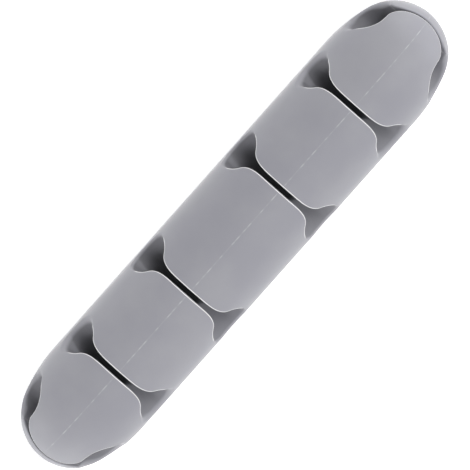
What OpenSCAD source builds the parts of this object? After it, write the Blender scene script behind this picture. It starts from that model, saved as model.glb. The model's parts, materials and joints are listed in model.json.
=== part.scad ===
// Adhesive cable clip for a desk edge: one long moulded bar with a half-round top, six cable
// channels across it, and a foam tape pad under it.
// X runs along the bar, Y across it, +Z up. The origin is under the middle of the tape pad.
// Four channels open upward through a slit; the two end channels open at the bar's ends.

/* [Bar] */
// Width across the straight sides
bar_w = 20; // [18:0.5:26]
// Height of the upright wall below the half-round top
wall_h = 2.5; // [2:0.1:5]
// Length over which each side eases in towards the end
ease_l = 6.2; // [4:0.1:10]
// How far each side has eased in where the round end takes over
ease_in = 0.95; // [0.5:0.05:2]

/* [Channel spacing] */
// Distance between the two middle channels
middle_pitch = 23.15; // [16:0.05:32]
// Distance from a middle channel to the outer channel
outer_pitch = 18.15; // [15:0.05:26]
// Distance from an outer channel to the end channel
end_pitch = 12.95; // [12:0.05:20]
// Distance from an end channel to the tip of the bar
tip_inset = 7; // [6.6:0.1:7.6]

/* [Middle channels] */
// Radius of a middle channel
middle_r = 3.65; // [2.8:0.05:4]
// Material under a middle channel
middle_floor = 2.45; // [1.6:0.05:3]

/* [Outer channels] */
// Radius of an outer channel
outer_r = 3.1; // [2.6:0.05:3.4]
// Material under an outer channel
outer_floor = 3.95; // [1.6:0.05:4.4]

/* [End channels] */
// Radius of an end channel
end_r = 3.65; // [3:0.05:3.8]
// Material under an end channel
end_floor = 1.35; // [1.2:0.05:2]
// Height of the end slit's middle above the end channel's centre
end_slit_up = 1.7; // [1.3:0.05:1.9]
// Height of the end slit
end_slit_h = 0.5; // [0.4:0.05:1]
// Radius that eases the roof of an end channel into its slit
end_roof_r = 6; // [2:0.5:7]
// Radius of the jaw's inner corner below the end slit
jaw_r = 2; // [0.5:0.1:2.4]

/* [Top slits] */
// Width of a top slit
slit_w = 0.95; // [0.6:0.05:1.5]
// Radius of the shoulders that ease a channel into its slit
shoulder_r = 3.1; // [1.5:0.1:4]

/* [Mouth lips] */
// Rounding of a middle channel's lower lip, where it leaves the side wall
middle_lip = 0.4; // [0.3:0.1:1.2]
// Rounding of an outer channel's lower lip
outer_lip = 1; // [0.4:0.1:1.2]

/* [Tape pad] */
// Thickness of the foam tape
pad_t = 1; // [0.8:0.1:2]
// Depth of the recess that seats the tape
recess_d = 0.5; // [0.2:0.1:0.7]
// Width of the rim around the recess
rim_w = 1.4; // [1:0.1:3]
// Clearance between the tape's edge and the recess
pad_gap = 0.15; // [0.05:0.05:0.4]

/* [Hidden] */
$fn = 96;
// How far a cut runs past the face that it opens
OVER = 1;
// How far one rounding runs into the next, so that two arcs always cross where they blend
CROSS = 0.01;
top_r = bar_w / 2;
stand_off = pad_t - recess_d;
crown_z = stand_off + wall_h;

middle_x = middle_pitch / 2;
outer_x = middle_x + outer_pitch;
end_x = outer_x + end_pitch;
tip_x = end_x + tip_inset;
bar_l = 2 * tip_x;

// The outline of each end: a long side arc that is tangent to the straight side and to the end round
round_r = top_r - ease_in;
round_x = tip_x - round_r;
ease_drop = ease_in + CROSS;
side_bow = (ease_l * ease_l / ease_drop - ease_drop) / 2;
side_r = top_r + side_bow;
side_x = round_x - ease_l;
ease_sin = ease_l / (side_bow + ease_drop);

// Leaves what it is given where it is, or mirrors it to the other end of the bar
module flip(way) {
    mirror([way < 0 ? 1 : 0, 0, 0]) children();
}

// Plan of the bar, drawn in by inset all round
module plan(inset = 0) {
    square([2 * side_x, bar_w - 2 * inset], center = true);
    for (way = [-1, 1]) flip(way) {
        translate([round_x, 0]) circle(round_r - inset);
        intersection() {
            translate([side_x, -side_bow]) circle(side_r - inset);
            translate([side_x, side_bow]) circle(side_r - inset);
            translate([side_x, -bar_w]) square([(side_r - inset) * ease_sin, 2 * bar_w]);
        }
    }
}

// Half-round top: the plan turned about the bar's long axis, its upper half
module crown() {
    intersection() {
        rotate([0, 90, 0]) rotate_extrude() intersection() {
            rotate(90) plan();
            translate([0, -tip_x - OVER]) square([bar_w, bar_l + 2 * OVER]);
        }
        translate([-tip_x - OVER, -bar_w, 0]) cube([bar_l + 2 * OVER, 2 * bar_w, bar_w]);
    }
}

// Section of a channel with a slit upward, its centre at the origin
module top_opening(r) {
    circle(r);
    translate([-slit_w / 2, 0]) square([slit_w, bar_w]);
}

// The two wedges that ease that channel into its slit
module top_shoulders(r) {
    side = slit_w / 2 + shoulder_r;
    rise = sqrt(pow(r + shoulder_r, 2) - side * side);
    difference() {
        polygon([[0, 0], [side, rise], [-side, rise]]);
        for (way = [-1, 1]) translate([way * side, rise]) circle(shoulder_r + CROSS);
    }
}

// Section of an end channel with a slit outward, its centre at the origin
module end_opening(r) {
    circle(r);
    translate([0, end_slit_up - end_slit_h / 2]) square([bar_w, end_slit_h]);
}

// The roof and jaw wedges that ease that channel into its slit
module end_shoulders(r) {
    roof = end_slit_up + end_slit_h / 2 + end_roof_r;
    roof_x = sqrt(pow(r + end_roof_r, 2) - roof * roof);
    jaw = end_slit_up - end_slit_h / 2 - jaw_r;
    jaw_x = sqrt(pow(r + jaw_r, 2) - jaw * jaw);
    difference() {
        polygon([[0, 0], [jaw_x, jaw], [jaw_x, end_slit_up], [roof_x, end_slit_up], [roof_x, roof]]);
        translate([roof_x, roof]) circle(end_roof_r + CROSS);
        translate([jaw_x, jaw]) circle(jaw_r + CROSS);
    }
}

// Runs a section through the bar from side to side
module across() {
    rotate([90, 0, 0]) linear_extrude(bar_w + 2 * OVER, center = true) children();
}

// Places what it is given at both channels of a pair, at the channel's centre
module pair(x, lift) {
    for (way = [-1, 1]) flip(way) translate([x, 0, stand_off + lift]) children();
}

// Rounds the lower lip of a channel at both side walls
module lips(r, lip) {
    for (turn = [0, 180]) rotate([-90, 0, turn]) translate([0, 0, top_r - lip])
        rotate_extrude() difference() {
            square([r + lip, lip + OVER]);
            translate([r + lip, 0]) circle(lip + CROSS);
        }
}

// The bar before anything is cut from it
module bar() {
    translate([0, 0, stand_off]) linear_extrude(wall_h) plan();
    translate([0, 0, crown_z]) crown();
}

// The six round channels with their slits
module openings() {
    pair(middle_x, middle_floor + middle_r) across() top_opening(middle_r);
    pair(outer_x, outer_floor + outer_r) across() top_opening(outer_r);
    pair(end_x, end_floor + end_r) across() end_opening(end_r);
}

// What the slits lose where they widen into the channels
module shoulders() {
    pair(middle_x, middle_floor + middle_r) across() top_shoulders(middle_r);
    pair(outer_x, outer_floor + outer_r) across() top_shoulders(outer_r);
    pair(end_x, end_floor + end_r) across() end_shoulders(end_r);
}

// What the mouths of the four upright channels lose at the side walls
module mouth_lips() {
    pair(middle_x, middle_floor + middle_r) lips(middle_r, middle_lip);
    pair(outer_x, outer_floor + outer_r) lips(outer_r, outer_lip);
}

// Shallow seat for the tape, inside the rim
module tape_recess() {
    translate([0, 0, stand_off - OVER]) linear_extrude(OVER + recess_d) plan(rim_w);
}

// The bar with its channels cut straight through
module drilled_bar() {
    difference() {
        bar();
        openings();
    }
}

// The same bar with the way into each slit eased
module eased_bar() {
    difference() {
        drilled_bar();
        shoulders();
    }
}

module body() {
    color([0.61, 0.61, 0.64]) difference() {
        eased_bar();
        mouth_lips();
        tape_recess();
    }
}

module adhesive_pad() {
    color([0.85, 0.86, 0.86]) linear_extrude(pad_t) plan(rim_w + pad_gap);
}

body();
adhesive_pad();
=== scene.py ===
import json
import math

import bpy
import numpy as np
from mathutils import Matrix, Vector
from mathutils.geometry import delaunay_2d_cdt


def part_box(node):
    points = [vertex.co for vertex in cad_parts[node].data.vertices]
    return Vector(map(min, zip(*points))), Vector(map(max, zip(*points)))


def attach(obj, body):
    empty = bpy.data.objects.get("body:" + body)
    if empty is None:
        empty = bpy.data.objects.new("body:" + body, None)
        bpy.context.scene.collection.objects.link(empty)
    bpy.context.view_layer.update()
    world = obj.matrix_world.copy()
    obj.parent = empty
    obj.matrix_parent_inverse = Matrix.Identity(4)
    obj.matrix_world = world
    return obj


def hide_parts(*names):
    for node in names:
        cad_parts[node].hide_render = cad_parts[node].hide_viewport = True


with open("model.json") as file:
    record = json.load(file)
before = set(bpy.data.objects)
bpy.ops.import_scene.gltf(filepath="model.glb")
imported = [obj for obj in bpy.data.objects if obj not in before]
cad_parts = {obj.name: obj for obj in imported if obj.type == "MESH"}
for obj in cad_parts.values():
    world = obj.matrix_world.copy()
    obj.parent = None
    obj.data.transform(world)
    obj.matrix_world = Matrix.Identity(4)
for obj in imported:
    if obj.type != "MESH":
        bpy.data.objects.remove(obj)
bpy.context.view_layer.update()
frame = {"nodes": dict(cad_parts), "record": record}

MM = 0.001

# The moulded bar. It is one shot of soft grey silicone rubber from a mould whose two halves part
# along Y: they meet on the top centre line, where they leave a thin raised witness line, and they
# carry the cores of all six channels, so channels and slits run straight from side to side.
body_low, body_high = (np.array(corner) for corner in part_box("body"))
seat_z = body_low[2]
line_rise = 0.035 * MM
tip_x = body_high[0] - line_rise
half_w = body_high[1] - line_rise
crown_z = body_high[2] - body_high[1]
ease_l = 6.2 * MM
ease_in = 0.95 * MM
round_r = half_w - ease_in
round_x = tip_x - round_r
side_bow = (ease_l**2 / ease_in - ease_in) / 2
side_r = half_w + side_bow
side_x = round_x - ease_l
blend_x = side_x + side_r * ease_l / (side_r - round_r)
tiny = 1e-12


def half_width(x):
    """Half the bar's width at x, which is also the rise of its round top above the upright wall."""
    x = np.abs(x)
    eased = np.sqrt(side_r**2 - np.clip(x - side_x, 0, side_r) ** 2) - side_bow
    rounded = np.sqrt(np.maximum(round_r**2 - (x - round_x) ** 2, 0))
    return np.where(x <= blend_x, eased, rounded)


def skin_normal(points):
    """Outward normals of the bar's outer skin: round top above crown_z, upright wall below it."""
    x = np.abs(points[:, 0])
    y = points[:, 1]
    rise = np.maximum(points[:, 2] - crown_z, 0)
    radial = np.maximum(np.hypot(y, rise), tiny)
    along = np.where(x <= blend_x, np.maximum(x - side_x, 0), x - round_x)
    out = np.where((x > side_x) & (x <= blend_x), radial + side_bow, radial)
    outward_x = along * np.sign(points[:, 0])
    normals = np.stack([outward_x, out * y / radial, out * rise / radial], axis=1)
    return normals / np.linalg.norm(normals, axis=1, keepdims=True)


# The skin is drawn flat on a chart: from the middle line of the top, each chart distance is the way
# down the round top and then down the wall.
top_run = half_w * math.pi / 2
least_reach = 0.8 * round_r
most_reach = 1.2 * half_w
reach_halvings = 45


def on_skin(chart):
    """The skin's points for the chart's points, each where a ray from the bar's axis leaves it."""
    foot = np.clip(chart[:, 0], -round_x, round_x)
    ahead = chart[:, 0] - foot
    run = np.maximum(np.hypot(ahead, chart[:, 1]), tiny)
    lean = np.minimum(run / top_run, 1) * math.pi / 2
    ray_x = ahead / run * np.sin(lean)
    ray_y = chart[:, 1] / run * np.sin(lean)
    near = np.full(len(chart), least_reach)
    far = np.full(len(chart), most_reach)
    for _ in range(reach_halvings):
        reach = (near + far) / 2
        inside = half_width(foot + reach * ray_x) ** 2 > reach**2 * (1 - ray_x**2)
        near = np.where(inside, reach, near)
        far = np.where(inside, far, reach)
    drop = np.maximum(run - top_run, 0)
    height = crown_z + reach * np.cos(lean) - drop
    return np.stack([foot + reach * ray_x, reach * ray_y, height], axis=1)


def on_chart(points):
    """The chart's points for points on the skin."""
    foot = np.clip(points[:, 0], -round_x, round_x)
    ahead = points[:, 0] - foot
    out = np.maximum(np.hypot(ahead, points[:, 1]), tiny)
    rise = points[:, 2] - crown_z
    run = np.arctan2(out, np.maximum(rise, 0)) / (math.pi / 2) * top_run + np.maximum(-rise, 0)
    return np.stack([foot + ahead / out * run, points[:, 1] / out * run], axis=1)


# Every opening is a section in the XZ plane, walked from one side of its slit round the channel to
# the other side, as dense points with the normal that faces into the opening.
straight_points = 400
arc_points = 1200


def straight(start, end, normal):
    """A straight stretch of a section."""
    steps = np.linspace(0, 1, straight_points)[:, None]
    points = np.array(start) * (1 - steps) + np.array(end) * steps
    return np.hstack([points, np.tile(normal, (len(points), 1))])


def arc(centre, radius, start, end, facing):
    """A round stretch of a section; facing is 1 where its normal points away from its centre."""
    turn = np.linspace(start, end, arc_points)
    out = np.stack([np.cos(turn), np.sin(turn)], axis=1)
    return np.hstack([np.array(centre) + radius * out, facing * out])


mounts = {mount["name"]: mount for mount in frame["record"]["mounts"]}
slit_w = 0.95 * MM
shoulder_r = 3.1 * MM
end_slit_up = 1.7 * MM
end_slit_h = 0.5 * MM
end_roof_r = 6.0 * MM
jaw_r = 2.0 * MM


def channel_place(name):
    """A channel's centre in the XZ plane and its radius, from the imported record's mount."""
    mount = mounts[name]
    return mount["pos_m"][0], mount["pos_m"][2], mount["dims"]["r_mm"] * MM


def top_section(name):
    """Section of a channel with its slit upward."""
    x, z, r = channel_place(name)
    side = slit_w / 2 + shoulder_r
    rise = math.sqrt((r + shoulder_r) ** 2 - side**2)
    meet = math.atan2(rise, side)
    left = [
        straight((-slit_w / 2, crown_z + half_w - z), (-slit_w / 2, rise), (1, 0)),
        arc((-side, rise), shoulder_r, 0, -meet, 1),
        arc((0, 0), r, math.pi - meet, 1.5 * math.pi, -1),
    ]
    left = np.vstack(left)
    right = left[::-1] * np.array([-1, 1, -1, 1])
    section = np.vstack([left, right])
    section[:, :2] += (x, z)
    return section


def end_section(name):
    """Section of an end channel with its slit outward."""
    x, z, r = channel_place(name)
    way = 1 if x > 0 else -1
    roof = end_slit_up + end_slit_h / 2
    roof_c = roof + end_roof_r
    roof_x = math.sqrt((r + end_roof_r) ** 2 - roof_c**2)
    jaw = end_slit_up - end_slit_h / 2
    jaw_c = jaw - jaw_r
    jaw_x = math.sqrt((r + jaw_r) ** 2 - jaw_c**2)
    roof_meet = math.atan2(roof_c, roof_x)
    jaw_meet = math.atan2(jaw_c, jaw_x)
    roof_tip = round_x + math.sqrt(round_r**2 - (z + roof - crown_z) ** 2) - abs(x)
    jaw_tip = round_x + math.sqrt(round_r**2 - (z + jaw - crown_z) ** 2) - abs(x)
    section = np.vstack([
        straight((roof_tip, roof), (roof_x, roof), (0, -1)),
        arc((roof_x, roof_c), end_roof_r, -math.pi / 2, roof_meet - math.pi, 1),
        arc((0, 0), r, roof_meet, 2 * math.pi + jaw_meet, -1),
        arc((jaw_x, jaw_c), jaw_r, math.pi + jaw_meet, math.pi / 2, 1),
        straight((jaw_x, jaw), (jaw_tip, jaw), (0, 1)),
    ])
    return section * np.array([way, 1, way, 1]) + np.array([x, z, 0, 0])


# The edges of the openings are crisp along the slits, with a painted highlight, and soft round the
# lower lip of each mouth. A lip reaches up to an angle round its channel from straight down.
edge_round = 0.16 * MM
foot_round = 0.3 * MM
lip_rounds = {"middle": 0.6 * MM, "outer": 1.2 * MM, "end": 1.25 * MM}
lip_ends = {"middle": math.radians(104), "outer": math.radians(111), "end": math.radians(130)}
lip_fade = math.radians(40)
lip_fade_past = math.radians(8)
crisp_fade = math.radians(5)
jaw_lip_end = math.radians(96)
jaw_extra_round = 0.15 * MM
round_share_above_foot = 0.6
pale_reach = 0.08 * MM
pale_fade = (0.1, 0.7)
shade_fade = (0.5, 1)
walk_points = 12001
loop_step = 0.24 * MM
fillet_steps = 6
wall_step = 0.42 * MM
loop_gap = 0.55
body_points = []
body_normals = []
body_faces = []
body_pale = []
body_painted_shade = []
point_count = 0


def add_points(points, normals, pale=0.0, inner=0.0):
    """Adds points to the bar's mesh and returns their numbers."""
    global point_count
    body_points.append(points)
    body_normals.append(normals)
    body_pale.append(np.broadcast_to(pale, len(points)))
    body_painted_shade.append(np.broadcast_to(inner, len(points)))
    numbers = np.arange(point_count, point_count + len(points))
    point_count += len(points)
    return numbers


def join_loops(one, other):
    """Joins two closed rows of as many points with a band of triangles."""
    one_next = np.roll(one, -1)
    other_next = np.roll(other, -1)
    body_faces.extend(np.stack([one, one_next, other_next], axis=1).tolist())
    body_faces.extend(np.stack([one, other_next, other], axis=1).tolist())


batch = 4000


def within(points, loop):
    """Which flat points lie inside a closed loop."""
    a = loop
    b = np.roll(loop, -1, axis=0)
    inside = np.zeros(len(points), bool)
    for start in range(0, len(points), batch):
        p = points[start:start + batch, None]
        spans = (a[None, :, 1] > p[..., 1]) != (b[None, :, 1] > p[..., 1])
        height = np.where(b[:, 1] == a[:, 1], 1, b[:, 1] - a[:, 1])
        cross = a[None, :, 0] + (p[..., 1] - a[None, :, 1]) * ((b[:, 0] - a[:, 0]) / height)[None]
        inside[start:start + batch] = (spans & (p[..., 0] < cross)).sum(axis=1) % 2 == 1
    return inside


def clear_of(points, loop, gap):
    """Which flat points lie further than gap from the points of a loop."""
    clear = np.zeros(len(points), bool)
    for start in range(0, len(points), batch):
        p = points[start:start + batch, None]
        clear[start:start + batch] = ((p - loop[None]) ** 2).sum(axis=2).min(axis=1) > gap**2
    return clear


def grid(low, high, step):
    """Staggered flat points over a rectangle, a step apart."""
    rows = np.arange(low[1], high[1], step * math.sqrt(3) / 2)
    columns = np.arange(low[0], high[0], step)
    x = columns[None, :] + (np.arange(len(rows)) % 2)[:, None] * step / 2
    y = np.repeat(rows[:, None], len(columns), axis=1)
    return np.stack([x.ravel(), y.ravel()], axis=1)


fill_scale = 1000
same_place = 1e-7


def fill(outer, holes, extra, numbers):
    """Fills a flat region with triangles; numbers are the mesh numbers of all its points."""
    loops = [outer] + holes
    edges = []
    first = 0
    for loop in loops:
        edges += [(first + i, first + (i + 1) % len(loop)) for i in range(len(loop))]
        first += len(loop)
    flat = np.vstack(loops + [extra])
    places = [tuple(place) for place in (flat * fill_scale).tolist()]
    made = delaunay_2d_cdt(places, edges, [], 0, same_place)
    source = np.array([origins[0] for origins in made[3]])
    triangles = source[np.array(made[2])]
    middle = flat[triangles].mean(axis=1)
    keep = within(middle, outer)
    for hole in holes:
        keep &= ~within(middle, hole)
    body_faces.extend(np.asarray(numbers)[triangles[keep]].tolist())


def smooth(low, high, value):
    """0 below low, 1 above high, and an eased rise between them."""
    t = np.clip((value - low) / (high - low), 0, 1)
    return t * t * (3 - 2 * t)


# Painted shade darkens the channels' walls with depth, and sooner behind the mouths on the +Y side.
near_mouth_painted_shade = 0.2
far_mouth_painted_shade = 0.45
painted_shade_blend = 1 * MM
near_painted_shade_start = 6.2 * MM
near_painted_shade_end = 7.5 * MM
far_painted_shade_start = 2.0 * MM
far_painted_shade_end = 5.5 * MM


def mouth_painted_shade(y):
    """How dark the painted shade on a channel's wall is at its mouth."""
    far_share = smooth(-painted_shade_blend, painted_shade_blend, y)
    return near_mouth_painted_shade + (far_mouth_painted_shade - near_mouth_painted_shade) * far_share


def cut_opening(section, name):
    """Makes an opening's inner wall and rounded edge, and returns the edge's row on the skin."""
    steps = np.linalg.norm(np.diff(section[:, :2], axis=0), axis=1)
    length = np.concatenate([[0], np.cumsum(steps)])
    fresh = np.concatenate([[True], np.diff(length) > tiny])
    section = section[fresh]
    length = length[fresh]

    def at(run):
        """The section's place and normal at a distance along it."""
        return np.stack([np.interp(run, length, section[:, i]) for i in range(4)], axis=1)

    turn = np.linspace(0, 2 * math.pi, walk_points)
    run = length[-1] * (1 - np.cos(turn)) / 2
    place = at(run)
    rise = np.maximum(place[:, 1] - crown_z, 0)
    side = np.where(turn < math.pi, 1, -1)
    out = np.sqrt(np.maximum(half_width(place[:, 0]) ** 2 - rise**2, 0)) * side
    edge = np.stack([place[:, 0], out, place[:, 1]], axis=1)
    steps = np.linalg.norm(np.diff(edge, axis=0), axis=1)
    walked = np.concatenate([[0], np.cumsum(steps)])
    count = 2 * round(walked[-1] / loop_step / 2)
    marks = np.linspace(0, walked[-1], count, endpoint=False)
    run = np.interp(marks, walked, run)
    edge = np.stack([np.interp(marks, walked, edge[:, i]) for i in range(3)], axis=1)

    wall_normal = at(run)[:, 2:]
    wall_normal = np.stack([wall_normal[:, 0], np.zeros(count), wall_normal[:, 1]], axis=1)
    outer_normal = skin_normal(edge)
    tangent = np.roll(edge, -1, axis=0) - np.roll(edge, 1, axis=0)
    tangent /= np.linalg.norm(tangent, axis=1, keepdims=True)

    centre = np.array(channel_place(name)[:2])
    kind = name.split("_")[0]
    lip_end = lip_ends[kind]
    jaw_side = np.zeros(count)
    toward_middle = (centre[0] - edge[:, 0]) * np.sign(centre[0])
    below = np.arctan2(toward_middle, centre[1] - edge[:, 2])
    if kind == "end":
        below = np.where((below < 0) & (run < length[-1] / 2), below + 2 * math.pi, below)
        jaw_side = (below < 0).astype(float)
        lip_end = np.where(jaw_side > 0, jaw_lip_end, lip_end)
    below = np.abs(below)
    soft = 1 - smooth(lip_end - lip_fade, lip_end + lip_fade_past, below)
    crisp = smooth(lip_end - crisp_fade, lip_end + lip_fade_past, below) * (1 - jaw_side)
    radius_floor = edge_round + jaw_extra_round * jaw_side
    radius = radius_floor + (lip_rounds[kind] - radius_floor) * soft
    above_foot = edge[:, 2] - seat_z - foot_round
    radius = np.minimum(radius, round_share_above_foot * above_foot)
    wedge = math.pi - np.arccos(np.clip((wall_normal * outer_normal).sum(axis=1), -1, 1))
    setback = np.minimum(radius / np.tan(wedge / 2), radius)

    away = np.cross(outer_normal, tangent)
    away *= -np.sign((away * wall_normal).sum(axis=1))[:, None]
    skin_row = on_skin(on_chart(edge + away * setback[:, None]))
    skin_chart = on_chart(edge + away * (setback + pale_reach)[:, None])
    border_row = on_skin(skin_chart)

    flat = np.stack([run, edge[:, 1]], axis=1)
    flat_tangent = np.roll(flat, -1, axis=0) - np.roll(flat, 1, axis=0)
    flat_tangent /= np.linalg.norm(flat_tangent, axis=1, keepdims=True)
    inward = np.stack([-flat_tangent[:, 1], flat_tangent[:, 0]], axis=1)
    area = (flat[:, 0] * np.roll(flat[:, 1], -1) - np.roll(flat[:, 0], -1) * flat[:, 1]).sum()
    inner = flat + inward * np.sign(area) * setback[:, None]

    def on_wall(flat_points):
        """The wall's points and normals for flat points of distance along the section and y."""
        section_place = at(flat_points[:, 0])
        y = flat_points[:, 1]
        zero = np.zeros(len(y))
        points = np.stack([section_place[:, 0], y, section_place[:, 1]], axis=1)
        return points, np.stack([section_place[:, 2], zero, section_place[:, 3]], axis=1)

    inner_row, inner_normal = on_wall(inner)
    weight = np.sin(wedge / 2)[:, None]
    rows = []
    for step in range(fillet_steps + 1):
        t = step / fillet_steps
        corner = 2 * weight * t * (1 - t)
        total = (1 - t) ** 2 + corner + t**2
        rows.append(((1 - t) ** 2 * skin_row + corner * edge + t**2 * inner_row) / total)
    numbers = [add_points(border_row, skin_normal(border_row))]
    for step, row in enumerate(rows):
        if step == 0:
            normal = skin_normal(row)
        elif step == fillet_steps:
            normal = inner_normal
        else:
            along = np.roll(row, -1, axis=0) - np.roll(row, 1, axis=0)
            normal = np.cross(along, rows[step + 1] - rows[step - 1])
            normal *= np.sign((normal * (outer_normal + wall_normal)).sum(axis=1))[:, None]
            normal /= np.linalg.norm(normal, axis=1, keepdims=True)
        along_fillet = step / fillet_steps
        # A painted highlight on the crisp edge fades across the fillet; painted shade grows toward the
        # wall.
        pale = (1 - smooth(*pale_fade, along_fillet)) * crisp
        painted_shade = smooth(*shade_fade, along_fillet) * mouth_painted_shade(row[:, 1])
        numbers.append(add_points(row, normal, pale, painted_shade))
    for one, other in zip(numbers, numbers[1:]):
        join_loops(one, other)

    spots = grid(inner.min(axis=0), inner.max(axis=0), wall_step)
    spots = spots[within(spots, inner)]
    spots = spots[clear_of(spots, inner, loop_gap * wall_step)]
    mouth = np.interp(spots[:, 0], run[:count // 2], np.abs(edge[:count // 2, 1]))
    depth = mouth - np.abs(spots[:, 1])
    # The wall's painted shade deepens from the mouth inward, sooner on the +Y side.
    far_side = spots[:, 1] > 0
    painted_shade_start = np.where(far_side, far_painted_shade_start, near_painted_shade_start)
    painted_shade_end = np.where(far_side, far_painted_shade_end, near_painted_shade_end)
    least_painted_shade = mouth_painted_shade(spots[:, 1])
    painted_shade = least_painted_shade + (1 - least_painted_shade) * smooth(painted_shade_start, painted_shade_end, depth)
    wall_numbers = add_points(*on_wall(spots), 0.0, painted_shade)
    fill(inner, [], spots, np.concatenate([numbers[-1], wall_numbers]))
    return skin_chart, numbers[0]


holes = []
hole_numbers = []
for side_name in ("left", "right"):
    for channel in ("middle_channel_", "outer_channel_", "end_channel_"):
        name = channel + side_name
        section = end_section(name) if channel.startswith("end") else top_section(name)
        chart_loop, numbers = cut_opening(section, name)
        holes.append(chart_loop)
        hole_numbers.append(numbers)

# The skin's foot: a small rounded edge, the flat rim that lies on the desk side, and the recess
# that seats the tape, drawn as rows of the bar's outline drawn in step by step.
rim_w = 1.4 * MM
recess_d = 0.5 * MM
foot_step = 0.5 * MM
foot_turn_rows = 5
foot_run = top_run + crown_z - seat_z - foot_round
side_count = round(2 * round_x / foot_step)
bend_count = round(math.pi * foot_run / foot_step)
side_marks = np.linspace(-round_x, round_x, side_count, endpoint=False)
bend_marks = np.linspace(-math.pi / 2, math.pi / 2, bend_count, endpoint=False)
lower_side = np.stack([side_marks, np.full(side_count, -foot_run)], axis=1)
bend_x = round_x + foot_run * np.cos(bend_marks)
right_bend = np.stack([bend_x, foot_run * np.sin(bend_marks)], axis=1)
half_foot = np.vstack([lower_side, right_bend])
foot_chart = np.vstack([half_foot, -half_foot])
foot_row = on_skin(foot_chart)
foot_normal = skin_normal(foot_row)
foot_numbers = add_points(foot_row, foot_normal)
down = np.array([0, 0, -1.0])
last = foot_numbers
foot_rows = []
for turn in np.linspace(0, math.pi / 2, foot_turn_rows)[1:]:
    inset = foot_round * (1 - math.cos(turn))
    height = seat_z + foot_round * (1 - math.sin(turn))
    foot_rows.append((inset, height, foot_normal * math.cos(turn) + down * math.sin(turn)))
foot_rows.append((rim_w, seat_z, np.tile(down, (len(foot_row), 1))))
foot_rows.append((rim_w, seat_z, -foot_normal))
foot_rows.append((rim_w, seat_z + recess_d, -foot_normal))
foot_rows.append((rim_w, seat_z + recess_d, np.tile(down, (len(foot_row), 1))))
for inset, height, normal in foot_rows:
    row = foot_row - foot_normal * inset
    row[:, 2] = height
    numbers = add_points(row, normal)
    join_loops(last, numbers)
    last = numbers
recess_flat = (foot_row - foot_normal * rim_w)[:, :2]
roof_step = 2.5 * MM
roof_gap = 0.6
spots = grid(recess_flat.min(axis=0), recess_flat.max(axis=0), roof_step)
spots = spots[within(spots, recess_flat)]
spots = spots[clear_of(spots, recess_flat, roof_gap * roof_step)]
roof = np.column_stack([spots, np.full(len(spots), seat_z + recess_d)])
roof_numbers = add_points(roof, np.tile(down, (len(roof), 1)))
fill(recess_flat, [], spots, np.concatenate([last, roof_numbers]))

# The witness line stands a few hundredths of a millimetre proud on the top centre line, higher and
# lower along the bar where the mould closed less or more tightly.
line_half = 0.13 * MM
line_step = 0.3 * MM
line_clear = 2.2 * line_half
line_pale = 0.3
line_least = 0.15
line_span = (-0.6, 1.9)
line_waves = ((1900, 1.3, 1), (4300, 4.1, 1), (730, 0.4, 0.7))


def line_height(x):
    """How far the witness line stands proud of the skin."""
    wave = sum(size * np.sin(x * rate + start) for rate, start, size in line_waves)
    return line_rise * (line_least + (1 - line_least) * smooth(*line_span, wave))


skin_step = 0.44 * MM
hole_gap = 0.3
spots = grid(foot_chart.min(axis=0), foot_chart.max(axis=0), skin_step)
spots = spots[within(spots, foot_chart)]
spots = spots[np.abs(spots[:, 1]) > line_clear]
line_rows = np.array([-2, -1, -0.5, 0, 0.5, 1, 2]) * line_half
line_x = np.arange(-foot_run - round_x, foot_run + round_x, line_step)
line_spots = np.stack(np.meshgrid(line_x, line_rows), axis=2).reshape(-1, 2)
line_spots = line_spots[within(line_spots, foot_chart)]
spots = np.vstack([spots, line_spots])
spots = spots[clear_of(spots, foot_chart, loop_gap * skin_step)]
for hole in holes:
    spots = spots[~within(spots, hole)]
    spots = spots[clear_of(spots, hole, hole_gap * skin_step)]
skin = on_skin(spots)
normals = skin_normal(skin)
across = np.clip(spots[:, 1] / line_half, -1, 1)
height = line_height(skin[:, 0]) * (1 - across**2) ** 2
slope = line_height(skin[:, 0]) * 2 * (1 - across**2) * (-2 * across) / line_half
skin = skin + normals * height[:, None]
normals = normals - slope[:, None] * np.array([0, 1.0, 0])
normals /= np.linalg.norm(normals, axis=1, keepdims=True)
skin_numbers = add_points(skin, normals, line_pale * height / line_rise)
fill(foot_chart, holes, spots, np.concatenate([foot_numbers] + hole_numbers + [skin_numbers]))

# The mesh: every triangle is turned to face out, and slivers without an area are left out.
least_facing = 1e-14
points = np.vstack(body_points)
normals = np.vstack(body_normals)
faces = np.array(body_faces)
corners = points[faces]
facing = np.cross(corners[:, 1] - corners[:, 0], corners[:, 2] - corners[:, 0])
turned = (facing * normals[faces].sum(axis=1)).sum(axis=1) < 0
faces[turned] = faces[turned][:, ::-1]
faces = faces[np.linalg.norm(facing, axis=1) > least_facing]
mesh = bpy.data.meshes.new("silicone_bar")
mesh.from_pydata(points.tolist(), [], faces.tolist())
mesh.shade_smooth()
mesh.normals_split_custom_set_from_vertices(normals.tolist())
for name, values in (("pale", body_pale), ("inner", body_painted_shade)):
    mesh.attributes.new(name, "FLOAT", "POINT").data.foreach_set("value", np.concatenate(values))
bar = bpy.data.objects.new("silicone_bar", mesh)
bpy.context.scene.collection.objects.link(bar)


class Shade:
    """A node's output socket, so that number maths on it reads as an expression."""

    def __init__(self, nodes, socket):
        self.nodes = nodes
        self.socket = socket

    def math(self, operation, *inputs):
        settings = {"operation": operation}
        return self.nodes.node("ShaderNodeMath", settings, dict(enumerate(inputs)))

    def __add__(self, other):
        return self.math("ADD", self, other)

    __radd__ = __add__

    def __mul__(self, other):
        return self.math("MULTIPLY", self, other)

    __rmul__ = __mul__


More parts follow.
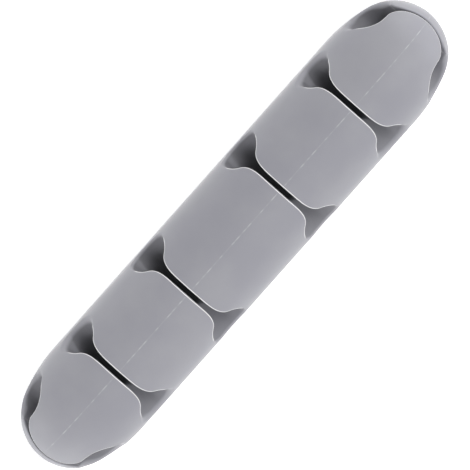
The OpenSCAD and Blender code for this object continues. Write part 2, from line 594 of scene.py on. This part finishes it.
class Nodes:
    """The node tree of a material or of the world."""

    def __init__(self, owner):
        owner.use_nodes = True
        self.tree = owner.node_tree

    def node(self, kind, settings, inputs, output=0):
        """Adds a node of a kind with its settings and inputs, and returns one of its outputs."""
        made = self.tree.nodes.new(kind)
        for setting, value in settings.items():
            setattr(made, setting, value)
        for socket, value in inputs.items():
            self.feed(made.inputs[socket], value)
        return Shade(self, made.outputs[output])

    def feed(self, socket, value):
        if isinstance(value, Shade):
            self.tree.links.new(value.socket, socket)
        else:
            socket.default_value = value

    def background_ray(self):
        """1 for rays that show the background: the camera's, and those that gloss or glass sends on."""
        camera = self.node("ShaderNodeLightPath", {}, {}, "Is Camera Ray")
        glossy = self.node("ShaderNodeLightPath", {}, {}, "Is Glossy Ray")
        through = self.node("ShaderNodeLightPath", {}, {}, "Is Transmission Ray")
        return camera.math("MAXIMUM", camera.math("MAXIMUM", camera, glossy), through)


class Finish(Nodes):
    """A material in the making, around one Principled shader whose fixed values are set by name."""

    def __init__(self, name, **fixed):
        self.material = bpy.data.materials.new(name)
        super().__init__(self.material)
        self.shader = self.tree.nodes["Principled BSDF"]
        for socket, value in fixed.items():
            self.shader.inputs[socket.replace("_", " ").title()].default_value = value

    def noise(self, where, scale, detail):
        inputs = {"Vector": where, "Scale": scale, "Detail": detail}
        return self.node("ShaderNodeTexNoise", {}, inputs)

    def spread(self, value, low, high, to_low=0.0, to_high=1.0):
        inputs = {"Value": value, "From Min": low, "From Max": high}
        inputs.update({"To Min": to_low, "To Max": to_high})
        return self.node("ShaderNodeMapRange", {"interpolation_type": "SMOOTHSTEP"}, inputs)

    def mix(self, factor, one, other):
        """Blends two colours; the Mix node's sockets share names, so they are given by number."""
        inputs = {0: factor, 6: one, 7: other}
        return self.node("ShaderNodeMix", {"data_type": "RGBA"}, inputs, 2)

    def bump(self, height, depth, strength):
        inputs = {"Height": height, "Distance": depth, "Strength": strength}
        return self.node("ShaderNodeBump", {}, inputs)


# Matt silicone: a faintly clouded cool grey with a fine grain and the soft bloom of the rubber.
dark_grey = (0.30, 0.30, 0.335, 1)
light_grey = (0.33, 0.33, 0.36, 1)
# This near-black grey is a painted shade for the channels' walls inside.
painted_shade_grey = (0.05, 0.05, 0.055, 1)
# This white is a painted highlight on the crisp slit edges, and a paler tint on the witness line.
painted_highlight_and_line_white = (0.95, 0.95, 0.95, 1)
cloud_scale = 110.0
cloud_detail = 3.0
grain_scale = 2600.0
grain_detail = 2.0
grain_depth = 0.02 * MM
grain_strength = 0.3
least_roughness = 0.5
most_roughness = 0.6
silicone = Finish("grey_silicone", sheen_weight=0.5, sheen_roughness=0.35)
where = silicone.node("ShaderNodeTexCoord", {}, {}, "Object")
cloud = silicone.noise(where, cloud_scale, cloud_detail)
grain = silicone.noise(where, grain_scale, grain_detail)
pale = silicone.node("ShaderNodeAttribute", {"attribute_name": "pale"}, {}, "Fac")
inner = silicone.node("ShaderNodeAttribute", {"attribute_name": "inner"}, {}, "Fac")
grey = silicone.mix(silicone.spread(cloud, 0.3, 0.7), dark_grey, light_grey)
# Painted shade darkens the channels' walls, by the inner attribute.
grey = silicone.mix(inner, grey, painted_shade_grey)
# Painted highlight pales the slit edges; the witness line is paler where it stands higher.
grey = silicone.mix(pale, grey, painted_highlight_and_line_white)
roughness = silicone.spread(cloud, 0.2, 0.8, least_roughness, most_roughness)
silicone.feed(silicone.shader.inputs["Base Color"], grey)
silicone.feed(silicone.shader.inputs["Roughness"], roughness)
silicone.feed(silicone.shader.inputs["Normal"], silicone.bump(grain, grain_depth, grain_strength))
bar.data.materials.append(silicone.material)
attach(bar, "root")
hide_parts("body")

# The tape pad. It is die-cut from double-sided closed-cell foam tape about a millimetre thick, and
# is pressed into the recess under the bar, from which it stands out by half its thickness.
cell_dark = (0.60, 0.61, 0.60, 1)
cell_light = (0.70, 0.71, 0.70, 1)
cell_scale = 3200.0
cell_detail = 3.0
cell_depth = 0.08 * MM
cell_strength = 0.5
foam = Finish("foam_tape", roughness=0.7)
where = foam.node("ShaderNodeTexCoord", {}, {}, "Object")
cells = foam.noise(where, cell_scale, cell_detail)
tint = foam.mix(foam.spread(cells, 0.35, 0.65), cell_dark, cell_light)
foam.feed(foam.shader.inputs["Base Color"], tint)
foam.feed(foam.shader.inputs["Normal"], foam.bump(cells, cell_depth, cell_strength))
pad = frame["nodes"]["adhesive_pad"]
pad.data.materials.clear()
pad.data.materials.append(foam.material)

# The studio: a large sheet of matt white paper lies a hair below the tape. It adds a glow of its
# own for the rays that show the background, so it comes out white but keeps the clip's shadow.
floor_half = 3.0
floor_z = -0.05 * MM
floor_corners = ((-1, -1), (1, -1), (1, 1), (-1, 1))
floor_mesh = bpy.data.meshes.new("floor")
floor_points = [(x * floor_half, y * floor_half, floor_z) for x, y in floor_corners]
floor_mesh.from_pydata(floor_points, [], [(0, 1, 2, 3)])
floor = bpy.data.objects.new("floor", floor_mesh)
bpy.context.scene.collection.objects.link(floor)
paper_white = (0.9, 0.9, 0.9, 1)
glow_white = (0.6, 0.6, 0.6, 1)
no_glow = (0, 0, 0, 1)
paper = Finish("white_paper", base_color=paper_white, roughness=0.9, emission_strength=1.0)
glow = paper.mix(paper.background_ray(), no_glow, glow_white)
paper.feed(paper.shader.inputs["Emission Color"], glow)
floor.data.materials.append(paper.material)

# The room round it is white to those same rays, and nearly dark to all others.
world = bpy.data.worlds.new("studio")
sky = Nodes(world)
sky_level = 0.03
backdrop = sky.tree.nodes["Background"]
sky.feed(backdrop.inputs["Color"], (1, 1, 1, 1))
sky.feed(backdrop.inputs["Strength"], sky.background_ray() * (1 - sky_level) + sky_level)
bpy.context.scene.world = world


def lamp(name, place, size, level):
    """A square lamp that faces the clip and lights it at a share of the plain level."""
    light = bpy.data.lights.new(name, "AREA")
    made = bpy.data.objects.new(name, light)
    made.location = place
    light.size = size
    light.energy = level * 4 * math.pi * made.location.length_squared
    made.rotation_euler = made.location.to_track_quat("Z", "Y").to_euler()
    bpy.context.scene.collection.objects.link(made)


# Large soft lamps stand low at the four corners and half-way up beyond both ends of the bar, and a
# small hard key lamp stands high on its near side.
key_size = 0.05
fill_size = 0.5
lamp("key_lamp", (0.39, -0.63, 1.25), key_size, 0.21)
for way, side_name in ((-1, "left"), (1, "right")):
    lamp(f"far_{side_name}_fill", (way * 0.82, 0.52, 0.25), fill_size, 0.37)
    lamp(f"near_{side_name}_fill", (way * 0.74, -0.62, 0.25), fill_size, 0.33)
    lamp(f"top_{side_name}_fill", (way * 0.7, 0, 0.7), fill_size, 0.17)

# The camera looks almost straight down with a long lens, leaning a few degrees to the bar's +X and
# +Y sides, and is rolled so that the bar runs from lower left to upper right.
frame_px = 470
mm_per_px = 0.16807
bar_up = (0.6622658, 0.74926898)
lean_x = 0.0706
lean_y = 0.0756
lens = 500.0
sensor = 36.0
furthest_seen = 20
origin_px = (233.73, 234.81)
to_camera = np.array([lean_x, lean_y, 1.0])
to_camera /= np.linalg.norm(to_camera)
right = np.array([bar_up[0], -bar_up[1], 0])
right -= to_camera * right.dot(to_camera)
right /= np.linalg.norm(right)
up = np.cross(to_camera, right)
middle_px = (frame_px - 1) / 2
px = mm_per_px * MM
aside = right * (middle_px - origin_px[0]) * px
upward = up * (middle_px - origin_px[1]) * px
target = np.array([0, 0, crown_z]) + aside - upward
distance = frame_px * px * lens / sensor
place = target + to_camera * distance
camera_data = bpy.data.cameras.new("camera")
camera_data.lens = lens
camera_data.sensor_width = sensor
camera_data.clip_end = furthest_seen
camera = bpy.data.objects.new("camera", camera_data)
camera.matrix_world = Matrix([
    (right[0], up[0], to_camera[0], place[0]),
    (right[1], up[1], to_camera[1], place[1]),
    (right[2], up[2], to_camera[2], place[2]),
    (0, 0, 0, 1),
])
bpy.context.scene.collection.objects.link(camera)
bpy.context.scene.camera = camera
bpy.context.scene.view_settings.view_transform = "Standard"
